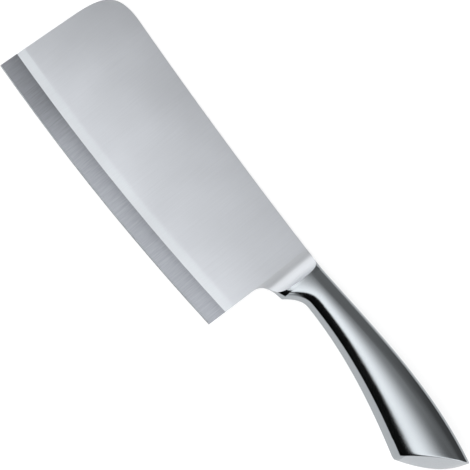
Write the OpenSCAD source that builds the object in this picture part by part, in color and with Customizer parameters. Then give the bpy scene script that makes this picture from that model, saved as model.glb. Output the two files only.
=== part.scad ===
// Kitchen cleaver: a ground steel blade, a forged bolster and a hollow handle of two pressed shells.
// It lies on its flank: X runs from the tip to the butt, Y from the edge to the spine, and Z is up.
// Each piece is drawn flat, with the heel of the edge at X = 0, the lowest point of the edge at Y = 0
// and the middle of the blade's thickness at Z = 0. lay_down() then leans it on the table.

/* [Blade] */
// Length of the edge, from the tip corner to the heel corner
edge_length = 180; // [150:1:210]
// Thickness of the blade at its flat cheeks
blade_thickness = 2.2; // [1.8:0.1:3]
// Height of the spine at the heel, above the lowest point of the edge
heel_height = 70; // [66:0.5:80]
// Height that the line of the spine reaches over the tip corner
tip_height = 78.6; // [70:0.1:90]
// How far the spine dips below a straight line
spine_hollow = 1.3; // [0:0.1:3]
// Radius of the curve of the edge, seen from the side
edge_radius = 1390; // [900:10:3000]
// Distance from the heel to the lowest point of the edge
edge_low = 94.7; // [70:0.1:110]
// How far the end of the blade leans back from square, in degrees
tip_lean = 4.3; // [0:0.1:8]
// How far the rounding at the end of the spine reaches along both sides
corner_size = 29; // [12:0.5:36]
// How full that rounding is, from a flat cut to a square corner
corner_fullness = 0.7; // [0.4:0.01:0.9]
// How far the heel leans back from square, in degrees
heel_lean = 1.6; // [0:0.1:5]

/* [Grind] */
// Width of the main bevel, from the edge
bevel_width = 11.2; // [6:0.1:16]
// Width of the shallow shoulder above the bevel
shoulder_width = 5.4; // [2:0.1:9]
// Thickness of the blade at the top of the main bevel
bevel_thickness = 1.9; // [1.2:0.05:2.4]
// Width of the honed strip along the edge
honed_width = 0.6; // [0.3:0.05:1.2]
// How deep the main bevel is hollow ground, below a straight line
bevel_hollow = 0.12; // [0:0.01:0.16]
// Thickness of the blade where the honed strip starts
honed_thickness = 0.36; // [0.2:0.02:0.6]
// Thickness left at the edge itself
edge_flat = 0.04; // [0.02:0.01:0.1]

/* [Bolster] */
// Length of the bolster, from the heel to its rear face
bolster_length = 14; // [12:0.5:18]
// Height of the bolster at its rear face, from the guard point to the top
guard_height = 27.3; // [24:0.1:32]
// Where the ramp leaves the cheek, behind the heel
ramp_start = 0.5; // [0:0.1:2]
// Radius of the hollow ramp that rises from the cheek
ramp_radius = 17; // [14.5:0.5:22]
// Slope of the ramp where it leaves the cheek, in degrees
ramp_angle = 5; // [3:0.5:10]
// Height of the heel's fillet below the guard point
fillet_height = 9.4; // [6:0.1:14]
// How far the full height of the blade reaches into the bolster
blade_seat = 6; // [4:0.5:8]
// How far the seat and the tang are stepped in from each cheek
seat_step = 0.15; // [0.1:0.05:0.3]
// Length of the spigot that locates the shells
spigot_length = 6; // [3:0.5:9]
// Height of the tang
tang_height = 12; // [8:0.5:14]
// Length of the tang behind the bolster
tang_length = 45; // [20:1:80]
// Chamfer at the end of the tang
tang_chamfer = 3; // [1:0.5:4]

/* [Handle] */
// Length of the handle, from the bolster's rear face to the upper corner of the butt
handle_length = 132.2; // [110:0.2:150]
// Height of the neck behind the finger notch
neck_height = 18.8; // [17:0.2:22]
// Length of the finger notch behind the guard point
notch_length = 12; // [9:0.5:18]
// Slope of the finger notch at the guard point, as rise over run
notch_slope = 1.39; // [0.8:0.01:1.6]
// How far the top of the neck lies below the spine
neck_drop = 0.3; // [0:0.1:1]
// Slope of the top of the handle at the neck, as rise over run
top_rise = 0.051; // [0:0.001:0.1]
// Slope of the top of the handle at the butt, as fall over run
top_fall = 0.234; // [0.1:0.002:0.35]
// How far the upper corner of the butt lies below the top of the neck
butt_top_drop = 3.5; // [0:0.1:8]
// How far the lower corner of the butt lies below the top of the neck
butt_low_drop = 34.3; // [30:0.1:38]
// How far the lower corner of the butt lies in front of the upper one
butt_run = 27.5; // [15:0.5:34]
// Slope of the belly of the handle at the butt, as fall over run
belly_fall = 0.3; // [0.1:0.01:0.4]
// Direction of the end of the butt at its lower corner, in degrees
butt_low_angle = 31; // [22:1:40]
// Direction of the end of the butt at its upper corner, in degrees
butt_top_angle = 75; // [65:1:84]

/* [Handle section] */
// Thickness of the handle at the neck
neck_thickness = 15.5; // [14:0.1:18]
// Thickness of the handle at the butt
butt_thickness = 22; // [18:0.1:25]
// Wall of the two pressed shells
wall = 1; // [0.8:0.1:1.6]
// How far the round corner along the top of the handle reaches down the flank
spine_round = 6; // [4:0.1:6.5]
// How far the same corner reaches into the thickness of the handle
spine_depth = 4; // [3:0.1:5.5]
// Radius of the roll between the flank and the band along the belly, at the neck
neck_roll = 8; // [6:0.1:9]
// Radius of the same roll at the butt
butt_roll = 10.8; // [8:0.1:12]
// Tilt of the flank at the top of the handle, in degrees
flank_back = 3; // [1:0.5:6]
// Tilt of the flank where it meets the roll, in degrees
flank_front = 10; // [6:0.5:14]
// Tilt of the roll where it ends at the crease, in degrees
crease_tilt = 40; // [30:1:50]
// Width of the band along the belly at the neck, seen from the side
neck_band = 2.5; // [1.6:0.1:3]
// Width of the band along the belly at the butt, seen from the side
butt_band = 3.9; // [3:0.1:5]
// How far the crease bows out at the butt
crease_bow = 1.5; // [0:0.1:3]
// How full the band and the end of the butt are, from flat
band_bulge = 0.22; // [0:0.01:0.4]

/* [Fits] */
// Gap left between two pieces for the weld
weld_gap = 0.05; // [0.02:0.01:0.1]
// Clearance round the spigot inside the shells
spigot_clearance = 0.15; // [0.1:0.05:0.3]

/* [Hidden] */

satin_steel = "#c9cbcd";
forged_steel = "#d8dadb";
polished_steel = "#8f9296";

// Points along each stretch of a section and of the outline
band_steps = 3;
roll_steps = 4;
flank_steps = 6;
corner_steps = 5;
wall_steps = 1;
section_steps = band_steps + roll_steps + flank_steps + corner_steps + wall_steps;
notch_rings = 8;
grip_rings = 26;
end_rows = 4;
bolster_rings = 10;
spine_steps = 24;
tip_corner_steps = 20;
round_steps = 180;
edge_steps = 1440;
hollow_steps = 8;

neck_top = heel_height - neck_drop;
guard_y = neck_top - guard_height;
neck_belly = neck_top - neck_height;
butt_top = [bolster_length + handle_length, neck_top - butt_top_drop];
butt_low = [butt_top.x - butt_run, neck_top - butt_low_drop];
notch_end = bolster_length + notch_length;

// Plain curves
function blend(a, b, s) = a + (b - a) * s;
function ease(s) = s * s * (3 - 2 * s);
function unit(v) = v / norm(v);
function hermite(y0, y1, m0, m1, run, s) =
    blend(y0, y1, ease(s)) + run * s * (1 - s) * (m0 * (1 - s) - m1 * s);
function hermite_slope(y0, y1, m0, m1, run, s) =
    6 * s * (1 - s) * (y1 - y0) / run + m0 * (1 - s) * (1 - 3 * s) + m1 * s * (3 * s - 2);
function bezier(p, s) =
    pow(1 - s, 3) * p[0] + 3 * pow(1 - s, 2) * s * p[1] + 3 * (1 - s) * s * s * p[2] + pow(s, 3) * p[3];

// Outline of the blade
function edge_y(x) = edge_radius - sqrt(pow(edge_radius, 2) - pow(x + edge_low, 2));
function spine_y(x) =
    blend(heel_height, tip_height, -x / edge_length)
    + 4 * spine_hollow * (x / edge_length) * (1 + x / edge_length);
function tip_x(y) = -edge_length + (y - edge_y(-edge_length)) * tan(tip_lean);
function heel_x(y) = (y - edge_y(0)) * tan(heel_lean);

tip_turn_y = tip_height - corner_size;
tip_turn = [tip_x(tip_turn_y), tip_turn_y];
spine_turn_x = -edge_length + corner_size;
spine_turn = [spine_turn_x, spine_y(spine_turn_x)];
tip_direction = [sin(tip_lean), cos(tip_lean)];
spine_direction = unit([-1, spine_y(spine_turn_x - 1) - spine_y(spine_turn_x)]);
tip_corner = [
    tip_turn,
    tip_turn + tip_direction * corner_size * corner_fullness,
    spine_turn + spine_direction * corner_size * corner_fullness,
    spine_turn
];

// The heel runs up into the underside of the bolster in one fillet, which ends at the guard point
fillet_start = [heel_x(guard_y - fillet_height), guard_y - fillet_height];
guard_point = [bolster_length, guard_y];
fillet_reach = 0.6;
underside_tilt = 7;
heel_fillet = [
    fillet_start,
    fillet_start + [sin(heel_lean), cos(heel_lean)] * fillet_height * fillet_reach,
    guard_point - [cos(underside_tilt), sin(underside_tilt)] * bolster_length * fillet_reach,
    guard_point
];

below_edge = 2;
blade_points = concat(
    [[tip_x(-below_edge), -below_edge], [heel_x(-below_edge), -below_edge]],
    [for (i = [0 : bolster_rings]) bezier(heel_fillet, i / bolster_rings)],
    [[bolster_length, spine_y(0)]],
    [for (i = [0 : spine_steps]) let (x = spine_turn_x * i / spine_steps) [x, spine_y(x)]],
    [for (i = [1 : tip_corner_steps]) bezier(tip_corner, 1 - i / tip_corner_steps)]
);

tang_middle = neck_top - (wall + neck_height) / 2;
tang_end = bolster_length + tang_length;

module tang_outline(clearance) {
    low = tang_middle - tang_height / 2 - clearance;
    high = tang_middle + tang_height / 2 + clearance;
    polygon([
        [0, low], [tang_end - tang_chamfer, low], [tang_end, low + tang_chamfer],
        [tang_end, high - tang_chamfer], [tang_end - tang_chamfer, high], [0, high]
    ]);
}

// The cheeks end at a small step in front of the bolster, which leaves them whole flat faces
cheek_end = fillet_start.x - weld_gap;

module behind(x) {
    translate([x, 0])
        square([tang_end, 2 * heel_height]);
}

module cheek_outline() {
    difference() {
        polygon(blade_points);
        difference() {
            behind(cheek_end);
            square([tang_end, fillet_start.y]);
        }
    }
}

module seat_outline() {
    overlap = 1;
    difference() {
        polygon(blade_points);
        behind(blade_seat);
    }
    intersection() {
        tang_outline(0);
        behind(blade_seat - overlap);
    }
}

module plate(thickness) {
    translate([0, 0, -thickness / 2])
        linear_extrude(thickness)
            children();
}

// One side of the grind, as the section that a ring takes away all round the curve of the edge
module grind_ring() {
    half = blade_thickness / 2;
    shoulder_slope = (half - bevel_thickness / 2) / shoulder_width;
    bevel_top = [edge_radius - bevel_width, bevel_thickness / 2];
    bevel_low = [edge_radius - honed_width, honed_thickness / 2];
    hollow = [for (i = [0 : hollow_steps])
        let (s = i / hollow_steps)
            blend(bevel_top, bevel_low, s) - [0, 4 * bevel_hollow * s * (1 - s)]];
    spare = 2;
    inside = edge_radius - bevel_width - shoulder_width - spare;
    outside = edge_radius + below_edge + max(edge_y(-edge_length), edge_y(0)) + spare;
    sweep = asin((edge_length + edge_low) / edge_radius);
    translate([-edge_low, edge_radius])
        rotate_extrude(angle = 2 * sweep, start = 270 - sweep, $fn = edge_steps)
            polygon(concat(
                [[inside, half + spare * shoulder_slope]],
                hollow,
                [
                    [edge_radius, edge_flat / 2],
                    [edge_radius, -blade_thickness],
                    [outside, -blade_thickness],
                    [outside, 2 * blade_thickness],
                    [inside, 2 * blade_thickness]
                ]
            ));
}

// Outline of the handle
top_run = handle_length;
function top_y(x) =
    hermite(neck_top, butt_top.y, top_rise, -top_fall, top_run, (x - bolster_length) / top_run);
function bolster_top_y(x) = blend(heel_height, neck_top, x / bolster_length);
notch_values = [guard_y, neck_belly, notch_slope, 0, notch_length];
belly_values = [neck_belly, butt_low.y, 0, -belly_fall, butt_low.x - notch_end];
function belly_y(x) =
    x < notch_end
        ? let (v = notch_values) hermite(v[0], v[1], v[2], v[3], v[4], (x - bolster_length) / v[4])
        : let (v = belly_values) hermite(v[0], v[1], v[2], v[3], v[4], (x - notch_end) / v[4]);
function belly_slope(x) =
    x < notch_end
        ? let (v = notch_values) hermite_slope(v[0], v[1], v[2], v[3], v[4], (x - bolster_length) / v[4])
        : let (v = belly_values) hermite_slope(v[0], v[1], v[2], v[3], v[4], (x - notch_end) / v[4]);
function belly_in(x, inset) = belly_y(x) + inset * sqrt(1 + pow(belly_slope(x), 2));
function top_in(x, inset) = top_y(x) - inset;

// A section of the handle from its belly to its top, above the middle plane. It runs up the band,
// over the roll to the flank, round an elliptic corner and down the short wall. b and t are its ends,
// lean tips the band along the handle, and inset draws the same section inside the wall.
function section(b, t, band, roll_radius, half, inset, lean, bow, rim) =
    let (
        round = [spine_round - inset, spine_depth - inset],
        back = atan(tan(flank_back) * round.x / round.y),
        corner_reach = round.x * (1 - sin(back)),
        rb = roll_radius - inset,
        c = b + (band - inset * (1 - sin(crease_tilt))) * [sin(lean), cos(lean)],
        run = norm(t - c),
        along = unit(c - t),
        out = [-along.y, along.x],
        turn = sin(flank_back) + sin(flank_front),
        rc = (run - corner_reach - rb * (sin(crease_tilt) - sin(flank_front))) / turn,
        flank = [corner_reach + rc * sin(flank_back), half - rc],
        roll = flank + (rc - rb) * [sin(flank_front), cos(flank_front)],
        corner = [round.x, half - rc * (1 - cos(flank_back)) - round.y * cos(back)],
        crease_z = roll.y + rb * cos(crease_tilt),
        turned = concat(
            [for (i = [0 : roll_steps - 1])
                let (a = blend(crease_tilt, flank_front, i / roll_steps))
                    roll + rb * [sin(a), cos(a)]],
            [for (i = [0 : flank_steps - 1])
                let (a = blend(flank_front, -flank_back, i / flank_steps))
                    flank + rc * [sin(a), cos(a)]],
            [for (i = [0 : corner_steps])
                let (a = blend(-back, -90, i / corner_steps))
                    corner + [round.x * sin(a), round.y * cos(a)]],
            [for (i = [1 : wall_steps]) [0, blend(corner.y, rim, i / wall_steps)]]
        )
    )
    concat(
        [for (i = [0 : band_steps - 1])
            let (s = i / band_steps, p = blend(b, c, s - band_bulge * s * (1 - s)))
                [p.x, p.y, blend(rim, crease_z, s)]],
        [for (q = turned)
            let (s = q.x / run, p = t + along * q.x - out * 4 * bow * s * (1 - s))
                [p.x, p.y, q.y]]
    );

// The inner corner of two walls with inward normals m and n
function corner_inset(p, m, n, inset) = p + inset * (m + n) / (1 + m * n);
function inward(angle) = [-sin(angle), cos(angle)];
function low_end(inset) =
    corner_inset(butt_low, inward(-atan(belly_fall)), inward(butt_low_angle), inset);
function top_end(inset) =
    corner_inset(butt_top, -inward(-atan(top_fall)), inward(butt_top_angle), inset);
butt_reach = 0.35;
function butt_curve(low, top, s) =
    let (reach = butt_reach * norm(top - low))
    bezier([
        low,
        low + reach * [cos(butt_low_angle), sin(butt_low_angle)],
        top - reach * [cos(butt_top_angle), sin(butt_top_angle)],
        top
    ], s);

// The rings fan out, from square at the bolster to the slanted end of the butt
crease_lean = 12;
notch_share = notch_length / (butt_low.x - bolster_length);
shares = concat(
    [for (i = [0 : notch_rings - 1]) notch_share * i / notch_rings],
    [for (i = [0 : grip_rings]) blend(notch_share, 1, i / grip_rings)]
);
rings = len(shares) - 1;
function grip_section(share, inset, rim) =
    let (
        xb = blend(bolster_length, low_end(inset).x, share),
        xt = blend(bolster_length, top_end(inset).x, share),
        half = blend(neck_thickness, butt_thickness, ease(share)) / 2 - inset
    )
    section(
        [xb, belly_in(xb, inset)], [xt, top_in(xt, inset)], blend(neck_band, butt_band, share),
        blend(neck_roll, butt_roll, share), half, inset, crease_lean * share,
        crease_bow * pow(share, 4), rim
    );

// How far along a section each of its points lies, from 0 to 1
function reaches(s) =
    let (steps = [for (i = [1 : len(s) - 1]) norm(s[i] - s[i - 1])])
    let (sums = [for (i = 0, d = 0; i < len(s); d = d + (i < len(steps) ? steps[i] : 0), i = i + 1) d])
    sums / sums[len(s) - 1];

// Rows of points of one skin: the sections, then the bowed end that runs down to the middle plane
function skin(inset, rim) =
    let (
        last = grip_section(1, inset, rim),
        w = reaches(last),
        low = [last[0].x, last[0].y],
        top = [last[section_steps].x, last[section_steps].y]
    )
    concat(
        [for (s = shares) each grip_section(s, inset, rim)],
        [for (j = [1 : end_rows]) each
            [for (k = [0 : section_steps])
                let (
                    s = j / end_rows,
                    p = blend([last[k].x, last[k].y], butt_curve(low, top, w[k]),
                        s + band_bulge * s * (1 - s))
                )
                [p.x, p.y, blend(last[k].z, rim, s)]]]
    );

row = section_steps + 1;
rows = rings + 1 + end_rows;
// The two ends of each row past the last section are the corners of that section
function at(i, k) = row * ((k == 0 || k == section_steps) ? min(i, rings) : i) + k;
function quad(a, b, c, d) = [if (a != b && b != c) [a, b, c], if (c != d && d != a) [a, c, d]];

module half_shell() {
    rim = weld_gap / 2;
    inner = row * rows;
    skin_faces = [for (i = [0 : rows - 2]) for (k = [0 : section_steps - 1])
        each quad(at(i, k), at(i, k + 1), at(i + 1, k + 1), at(i + 1, k))];
    inner_faces = [for (f = skin_faces) [f[2] + inner, f[1] + inner, f[0] + inner]];
    mouth = [for (k = [0 : section_steps - 1])
        each quad(at(0, k + 1), at(0, k), at(0, k) + inner, at(0, k + 1) + inner)];
    belly_rim = [for (i = [0 : rings - 1])
        each quad(at(i, 0), at(i + 1, 0), at(i + 1, 0) + inner, at(i, 0) + inner)];
    top_rim = [for (i = [0 : rings - 1]) let (k = section_steps)
        each quad(at(i + 1, k), at(i, k), at(i, k) + inner, at(i + 1, k) + inner)];
    butt_rim = [for (k = [0 : section_steps - 1]) let (i = rows - 1)
        each quad(at(i, k), at(i, k + 1), at(i, k + 1) + inner, at(i, k) + inner)];
    polyhedron(
        concat(skin(0, rim), skin(wall, rim)),
        concat(skin_faces, inner_faces, mouth, belly_rim, top_rim, butt_rim)
    );
}

// A whole ring: a half section and its mirror image below
function whole(s) =
    concat(s, [for (k = [len(s) - 2 : -1 : 1]) [s[k].x, s[k].y, -s[k].z]]);

module loft(ring_list) {
    n = len(ring_list[0]);
    last = len(ring_list) - 1;
    polyhedron(
        [for (r = ring_list) each r],
        concat(
            [[for (k = [n - 1 : -1 : 0]) k]],
            [[for (k = [0 : n - 1]) last * n + k]],
            [for (i = [0 : last - 1]) for (k = [0 : n - 1])
                let (m = (k + 1) % n)
                each quad(i * n + k, i * n + m, (i + 1) * n + m, (i + 1) * n + k)]
        )
    );
}

// The band along the belly runs past the guard point and narrows quickly along the heel's fillet
heel_band = 0.3;
band_fade = 3;
function bolster_ring(s) =
    let (p = bezier(heel_fillet, s), band = blend(heel_band, neck_band, pow(s, band_fade)))
    whole(section(p, [p.x, bolster_top_y(p.x)], band, neck_roll, neck_thickness / 2, 0, 0, 0, 0));

spigot_inset = wall + spigot_clearance;
function spigot_ring(x) =
    whole(section([x, belly_in(x, spigot_inset)], [x, top_in(x, spigot_inset)], neck_band, neck_roll,
        neck_thickness / 2 - spigot_inset, spigot_inset, 0, 0, 0));

module ramp_cutter() {
    length = 2 * heel_height;
    translate([
        ramp_start - ramp_radius * sin(ramp_angle),
        length,
        blade_thickness / 2 + ramp_radius * cos(ramp_angle)
    ])
        rotate([90, 0, 0])
            cylinder(r = ramp_radius, h = length, $fn = round_steps);
}

module blade() {
    color(satin_steel)
        difference() {
            union() {
                plate(blade_thickness)
                    cheek_outline();
                plate(blade_thickness - 2 * seat_step)
                    seat_outline();
            }
            grind_ring();
            mirror([0, 0, 1])
                grind_ring();
        }
}

module bolster() {
    slot = blade_thickness / 2 - seat_step + weld_gap;
    color(forged_steel)
        difference() {
            loft(concat(
                [for (i = [0 : bolster_rings]) bolster_ring(i / bolster_rings)],
                [for (i = [0 : notch_rings / 2])
                    spigot_ring(bolster_length + spigot_length * i / (notch_rings / 2))]
            ));
            ramp_cutter();
            mirror([0, 0, 1])
                ramp_cutter();
            translate([-bolster_length, 0, -slot])
                cube([bolster_length + blade_seat + weld_gap, 2 * heel_height, 2 * slot]);
            translate([0, 0, -slot])
                linear_extrude(2 * slot)
                    tang_outline(weld_gap);
        }
}

module handle_shell_upper() {
    color(polished_steel)
        translate([weld_gap, 0, 0])
            half_shell();
}

module handle_shell_lower() {
    color(polished_steel)
        translate([weld_gap, 0, 0])
            mirror([0, 0, 1])
                half_shell();
}

// The knife rests on the end of its lower cheek and on the flank of its neck
bevel_top_y = edge_y(-edge_length) + bevel_width + shoulder_width;
rest_tip = [tip_x(bevel_top_y), -blade_thickness / 2];
rest_neck = [bolster_length, -neck_thickness / 2];
rest_angle = atan((rest_tip.y - rest_neck.y) / (rest_neck.x - rest_tip.x));
rest_drop = rest_tip.x * sin(rest_angle) + rest_tip.y * cos(rest_angle);
middle_x = (butt_top.x - edge_length) / 2 * cos(rest_angle);
middle_y = spine_y(spine_turn_x) / 2;

module lay_down() {
    translate([-middle_x, -middle_y, -rest_drop])
        rotate([0, -rest_angle, 0])
            children();
}

lay_down() blade();
lay_down() bolster();
lay_down() handle_shell_upper();
lay_down() handle_shell_lower();
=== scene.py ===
# %% [markdown]
# A kitchen cleaver of stainless steel, lying on its flank and seen straight from above.
# The knife is four pieces: a ground blade, a forged bolster and the two pressed half shells of a
# hollow handle. Their shapes come from the construction model. This script gives them rounded edges,
# smooth polished skins and the finishes that the steel has: ground, satin and mirror bright.

# %% The frame
import math

import bpy
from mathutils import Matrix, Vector


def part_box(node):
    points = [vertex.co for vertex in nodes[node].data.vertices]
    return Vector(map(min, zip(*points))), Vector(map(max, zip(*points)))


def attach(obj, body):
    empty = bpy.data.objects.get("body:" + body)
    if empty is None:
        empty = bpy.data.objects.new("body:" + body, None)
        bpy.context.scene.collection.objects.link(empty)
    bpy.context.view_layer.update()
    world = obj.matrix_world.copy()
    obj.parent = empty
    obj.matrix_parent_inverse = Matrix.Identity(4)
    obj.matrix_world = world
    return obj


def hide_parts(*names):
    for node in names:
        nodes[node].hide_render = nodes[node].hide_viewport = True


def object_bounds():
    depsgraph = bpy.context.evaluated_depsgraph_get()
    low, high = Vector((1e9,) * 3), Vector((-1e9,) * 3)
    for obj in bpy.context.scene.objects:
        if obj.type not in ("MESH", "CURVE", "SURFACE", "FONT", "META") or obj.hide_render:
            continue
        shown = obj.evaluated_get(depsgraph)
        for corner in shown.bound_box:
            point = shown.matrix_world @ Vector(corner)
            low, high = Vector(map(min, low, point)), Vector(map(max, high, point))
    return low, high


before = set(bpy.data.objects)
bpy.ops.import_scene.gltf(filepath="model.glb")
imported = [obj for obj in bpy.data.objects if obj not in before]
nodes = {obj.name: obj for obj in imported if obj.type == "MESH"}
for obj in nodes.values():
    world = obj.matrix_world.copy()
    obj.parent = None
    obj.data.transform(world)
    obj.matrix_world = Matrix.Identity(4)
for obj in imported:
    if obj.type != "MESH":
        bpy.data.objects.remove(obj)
mm = 0.001


def plain(box):
    """A box as plain lists of numbers, in metres."""
    return [[round(float(value), 6) for value in corner] for corner in box]


cad_box = plain(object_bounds())
scene = bpy.context.scene
bpy.ops.object.select_all(action="DESELECT")
print("pieces of the construction:", sorted(nodes))

# %% [markdown]
# Colours are written as the hex values that a paint program shows. A shader wants linear numbers,
# so one function turns them. A second small function adds any node, sets its values and links it,
# which keeps every material below to a few readable lines.

# %% Helpers for materials


def linear(code):
    """An sRGB hex colour as the linear numbers that a shader takes."""
    shares = [int(code[i:i + 2], 16) / 255 for i in (1, 3, 5)]
    return [c / 12.92 if c <= 0.04045 else ((c + 0.055) / 1.055) ** 2.4 for c in shares] + [1.0]


def add(tree, kind, inputs=None, **settings):
    """Adds a node. An input that is given another node's output is linked, any other is set."""
    node = tree.nodes.new(kind)
    for name, value in settings.items():
        setattr(node, name, value)
    for name, value in (inputs or {}).items():
        if isinstance(value, bpy.types.NodeSocket):
            tree.links.new(value, node.inputs[name])
        else:
            node.inputs[name].default_value = value
    return node


def new_material(name):
    """An empty material and its node tree."""
    material = bpy.data.materials.new(name)
    material.use_nodes = True
    material.node_tree.nodes.clear()
    return material, material.node_tree


white = linear("#ffffff")
print("white as a shader takes it:", white)

# %% [markdown]
# The photograph looks straight down on the knife from far away, with the frame turned by about 51
# degrees. A parallel view would do, but a long lens from three metres is what a photographer has, and
# it gives the same flat view. The lens follows from the width of the table that the frame takes in.

# %% The camera
view_centre = Vector((-12.0 * mm, 6.24 * mm, 0))
view_width = 253.5 * mm
view_turn = 51.29
camera_height = 3.0
subject_height = 10 * mm
film_width = 36

bpy.ops.object.camera_add(
    location=view_centre + Vector((0, 0, camera_height + subject_height)),
    rotation=(0, 0, math.radians(view_turn)),
)
camera = bpy.context.object
camera.name = "camera"
camera.data.sensor_width = film_width
camera.data.lens = film_width * camera_height / view_width
scene.camera = camera
print("lens", round(camera.data.lens), "mm")

# %% [markdown]
# The ground is a plain white sheet. It is lit as any matt sheet is, so it keeps the shadow of the
# knife. More light would make it white too, but would wash out the steel. So it also glows where it
# is seen, which lifts it to the clean white of the photograph. Mirrored in the steel it glows a
# little less: the belly of the handle shows only the ground close beside the knife, which the knife
# itself shades. Its glow lights nothing matt.

# %% The floor
floor_size = 12
seen_glow = 0.78
mirrored_glow = 0.62

bpy.ops.mesh.primitive_plane_add(size=floor_size, location=(0, 0, cad_box[0][2]))
floor = bpy.context.object
floor.name = "floor"
paper, tree = new_material("white_paper_sheet")
path = add(tree, "ShaderNodeLightPath")
seen = add(tree, "ShaderNodeMath", {
    0: path.outputs["Is Camera Ray"], 1: path.outputs["Is Transmission Ray"],
}, operation="MAXIMUM")
direct = add(tree, "ShaderNodeMath", {0: seen.outputs[0], 1: seen_glow}, operation="MULTIPLY")
mirrored = add(tree, "ShaderNodeMath", {
    0: path.outputs["Is Glossy Ray"], 1: mirrored_glow,
}, operation="MULTIPLY")
level = add(tree, "ShaderNodeMath", {
    0: direct.outputs[0], 1: mirrored.outputs[0],
}, operation="MAXIMUM")
glow = add(tree, "ShaderNodeEmission", {"Color": white, "Strength": level.outputs[0]})
matt = add(tree, "ShaderNodeBsdfDiffuse", {"Color": linear("#b0b0b0")})
both = add(tree, "ShaderNodeAddShader", {0: matt.outputs[0], 1: glow.outputs[0]})
add(tree, "ShaderNodeOutputMaterial", {"Surface": both.outputs[0]})
floor.data.materials.append(paper)
print("the floor lies at", cad_box[0][2], "m")

# %% [markdown]
# Bright steel has hardly a colour of its own: it shows what stands round it. Plain lamps would leave
# small hard spots on the handle, so the surroundings are built instead, as a photographer builds them.
# The world comes first. It is dark beside the two long sides of the knife, and that makes the black
# band along the belly of the handle. It is light beyond the two ends, so that the steel stays bright
# when it is looked at from the side.

# %% The surroundings
ends_start, ends_full = 0.42, 0.85
dark_side, light_end = 0.004, 1.0

world = bpy.data.worlds.new("studio_with_light_ends")
scene.world = world
world.use_nodes = True
tree = world.node_tree
tree.nodes.clear()
place = add(tree, "ShaderNodeTexCoord")
parts = add(tree, "ShaderNodeSeparateXYZ", {0: place.outputs["Generated"]})
lengthwise = add(tree, "ShaderNodeMath", {0: parts.outputs["X"]}, operation="ABSOLUTE")
level = add(tree, "ShaderNodeMapRange", {
    "Value": lengthwise.outputs[0], "From Min": ends_start, "From Max": ends_full,
    "To Min": dark_side, "To Max": light_end,
}, interpolation_type="SMOOTHSTEP")
sky = add(tree, "ShaderNodeBackground", {"Color": white, "Strength": level.outputs[0]})
add(tree, "ShaderNodeOutputWorld", {"Surface": sky.outputs[0]})
print("the world glows at", dark_side, "beside the knife and at", light_end, "beyond its ends")

# %% [markdown]
# The rest of the light comes from glowing cards, planes whose material shines. An area lamp would
# do for an even glow, but the handle mirrors a card's edge as a hard line. A card's glow can
# therefore rise softly from a dark side to a bright one. The camera doesn't see the cards, and they
# cast no shadow, so they can stand wherever the steel looks for them.

# %% A glowing card
neck_side, butt_side = -0.32, -0.02


def light_card(name, centre, size, turn, bright, dark=None, calm=0.0, even=0.0, neck_dark=None):
    """A card that glows at the level bright. Where dark is given, the glow rises from dark on the
    card's own +Y side to bright on its -Y side. The first share of its height, calm, stays dark, and
    the last one, even, stays bright. A share below 0 ends the rise past the edge. neck_dark is the
    dark level on the -X side, which the neck of the handle mirrors, where that is another."""
    dark = bright if dark is None else dark
    neck_dark = dark if neck_dark is None else neck_dark
    bpy.ops.mesh.primitive_plane_add(size=1)
    card = bpy.context.object
    card.name = name
    material, tree = new_material(name + "_glow")
    place = add(tree, "ShaderNodeTexCoord")
    parts = add(tree, "ShaderNodeSeparateXYZ", {0: place.outputs["Object"]})
    least = add(tree, "ShaderNodeMapRange", {
        "Value": parts.outputs["X"], "From Min": neck_side, "From Max": butt_side,
        "To Min": neck_dark, "To Max": dark,
    })
    level = add(tree, "ShaderNodeMapRange", {
        "Value": parts.outputs["Y"], "From Min": 0.5 - calm, "From Max": even - 0.5,
        "To Min": least.outputs[0], "To Max": bright,
    }, interpolation_type="SMOOTHSTEP")
    glow = add(tree, "ShaderNodeEmission", {"Color": white, "Strength": level.outputs[0]})
    add(tree, "ShaderNodeOutputMaterial", {"Surface": glow.outputs[0]})
    card.data.materials.append(material)
    card.scale = (size[0], size[1], 1)
    card.rotation_euler = [math.radians(angle) for angle in turn]
    card.location = centre
    card.visible_camera = False
    card.visible_shadow = False
    print(name, "glows from", dark, "to", bright)


# %% [markdown]
# Where a card stands follows from what each part of the knife mirrors in the photograph. The flank of
# the handle shows one broad light overhead that fades to grey towards the spine: over_card is that
# light, and back_card goes on with the grey, down to the table behind. Both are a little lighter
# where the neck of the handle mirrors them. The ground blade scatters light along its length. Its
# cheek is brightest near the edge, so blade_card rises towards that side, and front_card fills the
# front of the blade.

# %% The cards overhead
overhead = 0.70

light_card("over_card", (0.125, -0.0755, overhead), (0.45, 0.315), (0, 0, -15),
           bright=1.95, dark=0.17, calm=0.10, even=0.14, neck_dark=0.42)
light_card("back_card", (0.125, 0.626, 0.369), (0.60, 1.365), (-32.7, 0, 0),
           bright=0.27, dark=0.10, calm=0.80, even=-0.03, neck_dark=0.28)
light_card("blade_card", (-0.12, -0.07, overhead), (0.16, 0.22), (0, 0, 0), bright=3.9, dark=1.3)
light_card("front_card", (-0.28, -0.05, overhead), (0.16, 0.10), (0, 0, 0), bright=2.9)

# %% [markdown]
# The other cards stand beyond the two ends, where the flank of the handle doesn't look. The first
# four shine along the blade and lift all of it, and the ramp of the bolster. The two on the left light
# the narrow sides, for a viewer beside the knife. The two high ones light the honed strip, so that no
# dark line runs along the edge.

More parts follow.
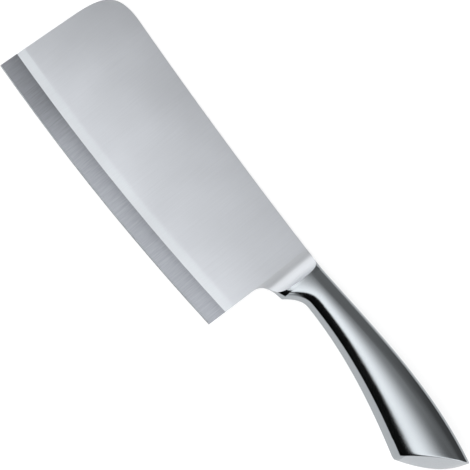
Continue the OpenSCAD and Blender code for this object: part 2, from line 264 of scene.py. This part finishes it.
# %% The cards at the two ends
light_card("tip_card", (-0.662, -0.12, 0.352), (0.319, 0.30), (0, -62, 0), bright=1.7)
light_card("low_tip_card", (-0.721, -0.24, 0.207), (0.319, 0.24), (0, -74, 0), bright=2.6)
light_card("butt_card", (0.441, -0.12, 0.607), (0.374, 0.30), (0, 36, 0), bright=2.5)
light_card("low_butt_card", (0.685, -0.15, 0.305), (0.43, 0.36), (0, 66, 0), bright=1.2)
light_card("far_left_card", (-0.50, 0.90, 0.40), (0.45, 0.60), (-66, 0, 0), bright=2.5)
light_card("near_left_card", (-0.58, -0.90, 0.40), (0.50, 0.60), (66, 0, 0), bright=2.5)
light_card("high_left_card", (-0.60, -0.50, 0.74), (0.45, 0.45), (42, 0, -42), bright=1.2)
light_card("high_right_card", (0.66, -0.38, 0.71), (0.45, 0.40), (45, 0, 60), bright=1.2)

# %% [markdown]
# The blade is stainless steel ground on a belt that ran from the edge to the spine. The belt left
# fine parallel scratches, and they spread a highlight across themselves, so the cheek looks softly
# grey and not mirror bright. A picture of ground metal would bring its own light with it. Here the
# scratches are a noise, stretched along Y, that tints the steel, roughens it and lifts it a little,
# and the shader is anisotropic, with its tangent along the blade. Real scratches are a few hundredths
# of a millimetre apart. One pixel of the picture is half a millimetre, so they are drawn that coarse.
# The tone also drifts by a few percent over some centimetres, as it does on a blade that was held to
# the belt by hand.

# %% Ground steel
noise_range = {"From Min": 0.3, "From Max": 0.7}
belt_drift = 0.04
belt_drift_size = 35 * mm
roughness_drift = 0.04
scratch_strength = 0.15
scratch_depth = 0.01 * mm


def ground_steel(name, colour, roughness, anisotropy, contrast, spacing, length,
                 painted_shade_share=1.0, painted_shade_to=0.0, unshaded_from=1.0):
    """Stainless steel with belt scratches along Y. spacing and length are theirs, in metres.
    Painted shade darkens the colour along X: up to painted_shade_to only painted_shade_share of the
    brightness is left, and from unshaded_from on all."""
    material, tree = new_material(name)
    place = add(tree, "ShaderNodeTexCoord")
    stretched = add(tree, "ShaderNodeMapping", {
        "Vector": place.outputs["Object"], "Scale": (1 / spacing, 1 / length, 1 / length),
    })
    scratches = add(tree, "ShaderNodeTexNoise", {
        "Vector": stretched.outputs[0], "Scale": 1.0, "Detail": 3.0, "Roughness": 0.65,
    })
    lines = add(tree, "ShaderNodeMapRange", {
        "Value": scratches.outputs[0], **noise_range, "To Min": 1 - contrast, "To Max": 1 + contrast,
    })
    clouds = add(tree, "ShaderNodeTexNoise", {
        "Vector": place.outputs["Object"], "Scale": 1 / belt_drift_size, "Detail": 1.5,
    })
    drift = add(tree, "ShaderNodeMapRange", {
        "Value": clouds.outputs[0], **noise_range, "To Min": 1 - belt_drift, "To Max": 1 + belt_drift,
    })
    parts = add(tree, "ShaderNodeSeparateXYZ", {0: place.outputs["Object"]})
    # Painted shade: this darkens the colour over a stretch along X.
    painted_shade_factor = add(tree, "ShaderNodeMapRange", {
        "Value": parts.outputs["X"], "From Min": painted_shade_to, "From Max": unshaded_from,
        "To Min": painted_shade_share, "To Max": 1.0,
    }, interpolation_type="SMOOTHSTEP")
    tone = add(tree, "ShaderNodeMath", {0: lines.outputs[0], 1: drift.outputs[0]}, operation="MULTIPLY")
    tone = add(tree, "ShaderNodeMath", {0: tone.outputs[0], 1: painted_shade_factor.outputs[0]}, operation="MULTIPLY")
    tint = add(tree, "ShaderNodeVectorMath", {
        0: linear(colour)[:3], 1: tone.outputs[0],
    }, operation="MULTIPLY")
    rough = add(tree, "ShaderNodeMapRange", {
        "Value": scratches.outputs[0], **noise_range,
        "To Min": roughness - roughness_drift, "To Max": roughness + roughness_drift,
    })
    relief = add(tree, "ShaderNodeBump", {
        "Height": scratches.outputs[0], "Strength": scratch_strength, "Distance": scratch_depth,
    })
    along = add(tree, "ShaderNodeTangent", direction_type="UV_MAP")
    steel = add(tree, "ShaderNodeBsdfPrincipled", {
        "Base Color": tint.outputs[0], "Metallic": 1.0, "Roughness": rough.outputs[0],
        "Anisotropic": anisotropy, "Normal": relief.outputs[0], "Tangent": along.outputs[0],
    })
    add(tree, "ShaderNodeOutputMaterial", {"Surface": steel.outputs[0]})
    print(name, "has scratches", round(spacing / mm, 2), "by", round(length / mm, 2), "mm")
    return material


# %% [markdown]
# The knife has four grades of that finish. The cheek is the plain one. The shoulder below it and the
# honed strip were ground finer, with shorter strokes. The main bevel came from a coarser belt, so its
# lines stand out, and its darker colour is partly that finish and partly painted shade. The ramp of
# the bolster is nearly satin, with hardly a direction, and its paler colour is partly a painted
# highlight.
# Towards the tip painted shade darkens the bevel, and the cheek too, but faintly. Painted shade
# darkens the foot of the ramp as well, in the hollow beside the cheek.

# %% The four ground finishes
# Painted shade along X darkens the tip end of the cheek and the bevel, and the foot of the ramp.
cheek_steel = ground_steel(
    "ground_stainless_cheek", "#cccfd4", roughness=0.42, anisotropy=0.85, contrast=0.03,
    spacing=0.5 * mm, length=24 * mm, painted_shade_share=0.88, painted_shade_to=-161 * mm, unshaded_from=-126 * mm)
shoulder_steel = ground_steel(
    "fine_ground_stainless_shoulder", "#cbcfd3", roughness=0.42, anisotropy=0.85, contrast=0.03,
    spacing=0.5 * mm, length=16 * mm)
# Painted shade: part of the bevel's darker colour.
bevel_steel = ground_steel(
    "ground_stainless_bevel", "#95989e", roughness=0.36, anisotropy=0.8, contrast=0.12,
    spacing=0.6 * mm, length=12 * mm, painted_shade_share=0.70, painted_shade_to=-138 * mm, unshaded_from=-95 * mm)
# Painted highlight: part of the ramp's paler colour.
ramp_steel = ground_steel(
    "satin_stainless_ramp", "#dadde1", roughness=0.38, anisotropy=0.3, contrast=0.03,
    spacing=0.5 * mm, length=16 * mm, painted_shade_share=0.83, painted_shade_to=21.2 * mm, unshaded_from=23.4 * mm)

# %% [markdown]
# The handle is the same steel, buffed on a wheel until it mirrors. A buffed surface is never quite
# even: the roughness drifts a little over a few centimetres, and that keeps it from looking like a
# perfect computer mirror. The flat facet at the butt has a slightly rougher polish than the flanks,
# and a paler colour that is a painted brighter reflection.

# %% Mirror-polished steel
haze_size = 25 * mm
polish_drift = 0.15


def polished_steel(name, colour, roughness):
    """Buffed stainless steel with a faint unevenness of its polish."""
    material, tree = new_material(name)
    place = add(tree, "ShaderNodeTexCoord")
    haze = add(tree, "ShaderNodeTexNoise", {
        "Vector": place.outputs["Object"], "Scale": 1 / haze_size, "Detail": 2.0,
    })
    rough = add(tree, "ShaderNodeMapRange", {
        "Value": haze.outputs[0], **noise_range,
        "To Min": roughness * (1 - polish_drift), "To Max": roughness * (1 + polish_drift),
    })
    steel = add(tree, "ShaderNodeBsdfPrincipled", {
        "Base Color": linear(colour), "Metallic": 1.0, "Roughness": rough.outputs[0],
    })
    add(tree, "ShaderNodeOutputMaterial", {"Surface": steel.outputs[0]})
    print(name, "has a roughness of about", roughness)
    return material


mirror_steel = polished_steel("buffed_stainless_handle", "#aaafb3", 0.12)
# Painted highlight: the paler colour of the butt facet stands for a brighter reflection.
butt_steel_painted_bright = polished_steel("buffed_stainless_butt_painted_brighter", "#c2c6ca", 0.16)

# %% [markdown]
# The construction's pieces come in as loose triangles. They could be shown as they are, but then no
# edge would be rounded. Each piece here starts as a copy of one, with its corners merged, so that
# edges can be found by the angle between their faces and then worked on.

# %% A working copy of a construction piece
merge_distance = 0.002 * mm


def working_copy(node, name):
    """A merged copy of a construction piece, selected and active in object mode."""
    bpy.ops.object.select_all(action="DESELECT")
    piece = bpy.data.objects.new(name, nodes[node].data.copy())
    piece.data.name = name
    piece.data.materials.clear()
    scene.collection.objects.link(piece)
    piece.select_set(True)
    bpy.context.view_layer.objects.active = piece
    bpy.ops.object.mode_set(mode="EDIT")
    bpy.ops.mesh.select_all(action="SELECT")
    bpy.ops.mesh.remove_doubles(threshold=merge_distance)
    bpy.ops.object.mode_set(mode="OBJECT")
    if piece.data.has_custom_normals:
        bpy.ops.mesh.customdata_custom_splitnormals_clear()
    print(name, "has", len(piece.data.vertices), "corners and", len(piece.data.polygons), "faces")
    return piece


def hand_over(piece, node):
    """The finished piece stands for its node and rides with the knife."""
    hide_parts(node)
    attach(piece, "root")


# %% [markdown]
# By hand, an edge is picked with a click. A script picks it by what it knows: the angle between the
# two faces that meet there, and where its middle lies. The two helpers below do that for any piece.
# This angle and all that are compared with it are in degrees.

# %% Finding and selecting edges


def edge_angles(piece):
    """For each edge with two faces: its index, the angle between them in degrees, and its middle."""
    mesh = piece.data
    faces_of = {}
    for face in mesh.polygons:
        for key in face.edge_keys:
            faces_of.setdefault(key, []).append(face.normal)
    for edge in mesh.edges:
        normals = faces_of.get(edge.key, [])
        if len(normals) == 2:
            ends = [mesh.vertices[i].co for i in edge.vertices]
            yield edge.index, math.degrees(normals[0].angle(normals[1], 0)), (ends[0] + ends[1]) / 2


def select_edges(piece, wanted):
    """Selects in edit mode the edges whose angle and middle the function wanted accepts."""
    chosen = {index for index, angle, middle in edge_angles(piece) if wanted(angle, middle)}
    bpy.ops.object.mode_set(mode="EDIT")
    bpy.ops.mesh.select_mode(type="EDGE")
    bpy.ops.mesh.select_all(action="DESELECT")
    bpy.ops.object.mode_set(mode="OBJECT")
    for index in chosen:
        piece.data.edges[index].select = True
    bpy.ops.object.mode_set(mode="EDIT")
    return len(chosen)


# %% [markdown]
# On the blade, the flats of the grind meet at very small angles. Where a face lies is told by its
# depth, its distance from the middle of the blade's thickness: the cheek has the full depth, and the
# shoulder and the main bevel follow below it. The triangles of each flat are joined first.

# %% The blade as it was ground
flat_within = 0.03

blade = working_copy("blade", "ground_blade")
bpy.ops.object.mode_set(mode="EDIT")
bpy.ops.mesh.select_all(action="SELECT")
bpy.ops.mesh.dissolve_limited(angle_limit=math.radians(flat_within))
bpy.ops.object.mode_set(mode="OBJECT")

largest = max(blade.data.polygons, key=lambda face: face.area)
cheek_up = largest.normal.copy() if largest.normal.z > 0 else -largest.normal
levels = [vertex.co.dot(cheek_up) for vertex in blade.data.vertices]
middle_level = (min(levels) + max(levels)) / 2
full_depth = (max(levels) - min(levels)) / 2


def depth(point):
    """How far a point lies from the middle of the blade's thickness."""
    return abs(point.dot(cheek_up) - middle_level)


print("the blade is", round(2 * full_depth / mm, 2), "mm thick")

# %% [markdown]
# The line between cheek and shoulder is blended by the belt, so it gets a wide, soft bevel. The line
# above the main bevel stays crisp. The corners along the spine, the front end and the heel are broken
# with a small chamfer, as a worker would do with a stone, and it catches the light as a thin line.

# %% Its lines and corners
bolster_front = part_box("bolster")[0].x
blend_width = 0.9 * mm
corner_width = 0.15 * mm
least_bend, most_bend = 1, 3
corner_bend = 60
at_cheek = 0.99 * full_depth
near_cheek = 0.9 * full_depth

count = select_edges(blade, lambda angle, middle: least_bend < angle < most_bend
                     and depth(middle) > at_cheek)
bpy.ops.mesh.bevel(offset=blend_width, segments=3, affect="EDGES", clamp_overlap=True)
bpy.ops.object.mode_set(mode="OBJECT")
print("blended", count, "edges between cheek and shoulder")

count = select_edges(blade, lambda angle, middle: angle > corner_bend
                     and depth(middle) > near_cheek and middle.x < bolster_front)
bpy.ops.mesh.bevel(offset=corner_width, segments=2, affect="EDGES", clamp_overlap=True)
bpy.ops.object.mode_set(mode="OBJECT")
print("broke", count, "corner edges of the blade")

# %% [markdown]
# Each face of the blade gets its finish from two things: how nearly it faces the way the cheek does,
# and its depth. The main bevel and the shoulder both face nearly that way, and the bevel has the
# smaller depth. The honed strip leans more, and it shares the fine finish of the shoulder. A map of
# the surface gives the shader its tangent along the blade. Normals weighted by area keep the wide
# cheek even beside the narrow strips of its soft line.

# %% The finishes of the blade
map_size = 0.1
smooth_below = 1.0
bevel_start, shoulder_start = 0.86, 0.985
grind_facing, honed_facing = 0.99, 0.9

bpy.ops.object.mode_set(mode="EDIT")
bpy.ops.mesh.select_all(action="SELECT")
bpy.ops.uv.cube_project(cube_size=map_size)
bpy.ops.object.mode_set(mode="OBJECT")
bpy.ops.object.shade_smooth_by_angle(angle=math.radians(smooth_below))
evening = blade.modifiers.new("even cheeks", "WEIGHTED_NORMAL")
evening.keep_sharp = True
bpy.ops.object.modifier_apply(modifier=evening.name)

finishes = [cheek_steel, bevel_steel, shoulder_steel]
for finish in finishes:
    blade.data.materials.append(finish)
for face in blade.data.polygons:
    facing = abs(face.normal.dot(cheek_up))
    share = depth(face.center) / full_depth
    if facing > grind_facing and share < bevel_start:
        face.material_index = finishes.index(bevel_steel)
    elif facing > honed_facing and share < shoulder_start:
        face.material_index = finishes.index(shoulder_steel)
for index, finish in enumerate(finishes):
    count = sum(face.material_index == index for face in blade.data.polygons)
    print(finish.name, "is on", count, "faces")
hand_over(blade, "blade")

# %% [markdown]
# The bolster is forged in one with its guard point. It has two finishes: the hollow ramps that rise
# from the cheeks are satin ground, and the rest is buffed with the handle. The ramps are the faces
# that look towards the tip, stand above the cheek and lean neither to the edge nor to the spine. A
# crisp line parts the two finishes, so the edges between them are marked sharp.

# %% The bolster
shell_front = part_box("handle_shell_lower")[0].x
smooth_forging = 20
least_slope = math.sin(math.radians(4.5))
most_sideways = 0.001

bolster = working_copy("bolster", "forged_bolster")
bpy.ops.object.mode_set(mode="EDIT")
bpy.ops.mesh.select_all(action="SELECT")
bpy.ops.uv.cube_project(cube_size=map_size)
bpy.ops.object.mode_set(mode="OBJECT")
bpy.ops.object.shade_smooth_by_angle(angle=math.radians(smooth_forging))
bolster.data.materials.append(mirror_steel)
bolster.data.materials.append(ramp_steel)

along_knife = Vector((0, 1, 0)).cross(cheek_up)
finish_of = {}
for face in bolster.data.polygons:
    towards_tip = face.normal.dot(along_knife) < -least_slope and face.center.x < shell_front
    straight = abs(face.normal.y) < most_sideways
    face.material_index = int(towards_tip and straight and depth(face.center) > full_depth)
    for key in face.edge_keys:
        finish_of.setdefault(key, set()).add(face.material_index)
for edge in bolster.data.edges:
    if len(finish_of[edge.key]) == 2:
        edge.use_edge_sharp = True
evening = bolster.modifiers.new("even faces", "WEIGHTED_NORMAL")
evening.keep_sharp = True
bpy.ops.object.modifier_apply(modifier=evening.name)
print("ramps of", sum(face.material_index for face in bolster.data.polygons), "faces")
hand_over(bolster, "bolster")

# %% [markdown]
# The handle is two pressed half shells, welded along a seam that the buffing hides. A mirror finish
# shows every facet, so the triangles are joined to quads and smoothed by a subdivision surface. The
# sharp lines of the pressing are rounded by a hair first, so that they stay, and the welds are
# creased, so that the two halves still meet. The faces at the butt that look away from the blade
# get the steel with the painted brighter reflection.

# %% The two shells
crease_round = 0.6 * mm
sharp_bend = 20
weld_reach = 0.2 * mm
mouth_reach = 0.5 * mm
quad_bend, quad_skew = 40, 60
smooth_levels = 2
butt_start = 138 * mm
butt_facing = 0.2


def at_weld(point):
    """True on the seam between the two shells, and round their mouth at the bolster."""
    in_mouth = point.x < shell_front + mouth_reach
    return in_mouth or depth(point) < weld_reach


def smooth_shell(node, name):
    """A half shell with a smooth skin and crisp creases."""
    shell = working_copy(node, name)
    bpy.ops.object.mode_set(mode="EDIT")
    bpy.ops.mesh.select_all(action="SELECT")
    bpy.ops.mesh.tris_convert_to_quads(
        face_threshold=math.radians(quad_bend), shape_threshold=math.radians(quad_skew))
    bpy.ops.object.mode_set(mode="OBJECT")
    count = select_edges(shell, lambda angle, middle: angle > sharp_bend and not at_weld(middle))
    bpy.ops.mesh.bevel(offset=crease_round, segments=2, affect="EDGES", clamp_overlap=True)
    bpy.ops.object.mode_set(mode="OBJECT")
    select_edges(shell, lambda angle, middle: angle > sharp_bend and at_weld(middle))
    bpy.ops.transform.edge_crease(value=1)
    bpy.ops.object.mode_set(mode="OBJECT")
    smoothing = shell.modifiers.new("smooth skin", "SUBSURF")
    smoothing.levels = smooth_levels
    smoothing.render_levels = smooth_levels
    bpy.ops.object.modifier_apply(modifier=smoothing.name)
    bpy.ops.object.shade_smooth_by_angle(angle=math.radians(sharp_bend))
    shell.data.materials.append(mirror_steel)
    shell.data.materials.append(butt_steel_painted_bright)
    for face in shell.data.polygons:
        # Painted brighter reflection on the faces of the butt facet.
        face.material_index = int(face.center.x > butt_start and face.normal.x > butt_facing)
    hand_over(shell, node)
    print(name, "has", count, "rounded edges and", len(shell.data.polygons), "faces")


smooth_shell("handle_shell_upper", "pressed_shell_upper")
smooth_shell("handle_shell_lower", "pressed_shell_lower")

# %% [markdown]
# The picture keeps every colour as it is written, with the standard view transform. The
# dressed knife has to stay the size of the construction.

scene.view_settings.view_transform = "Standard"
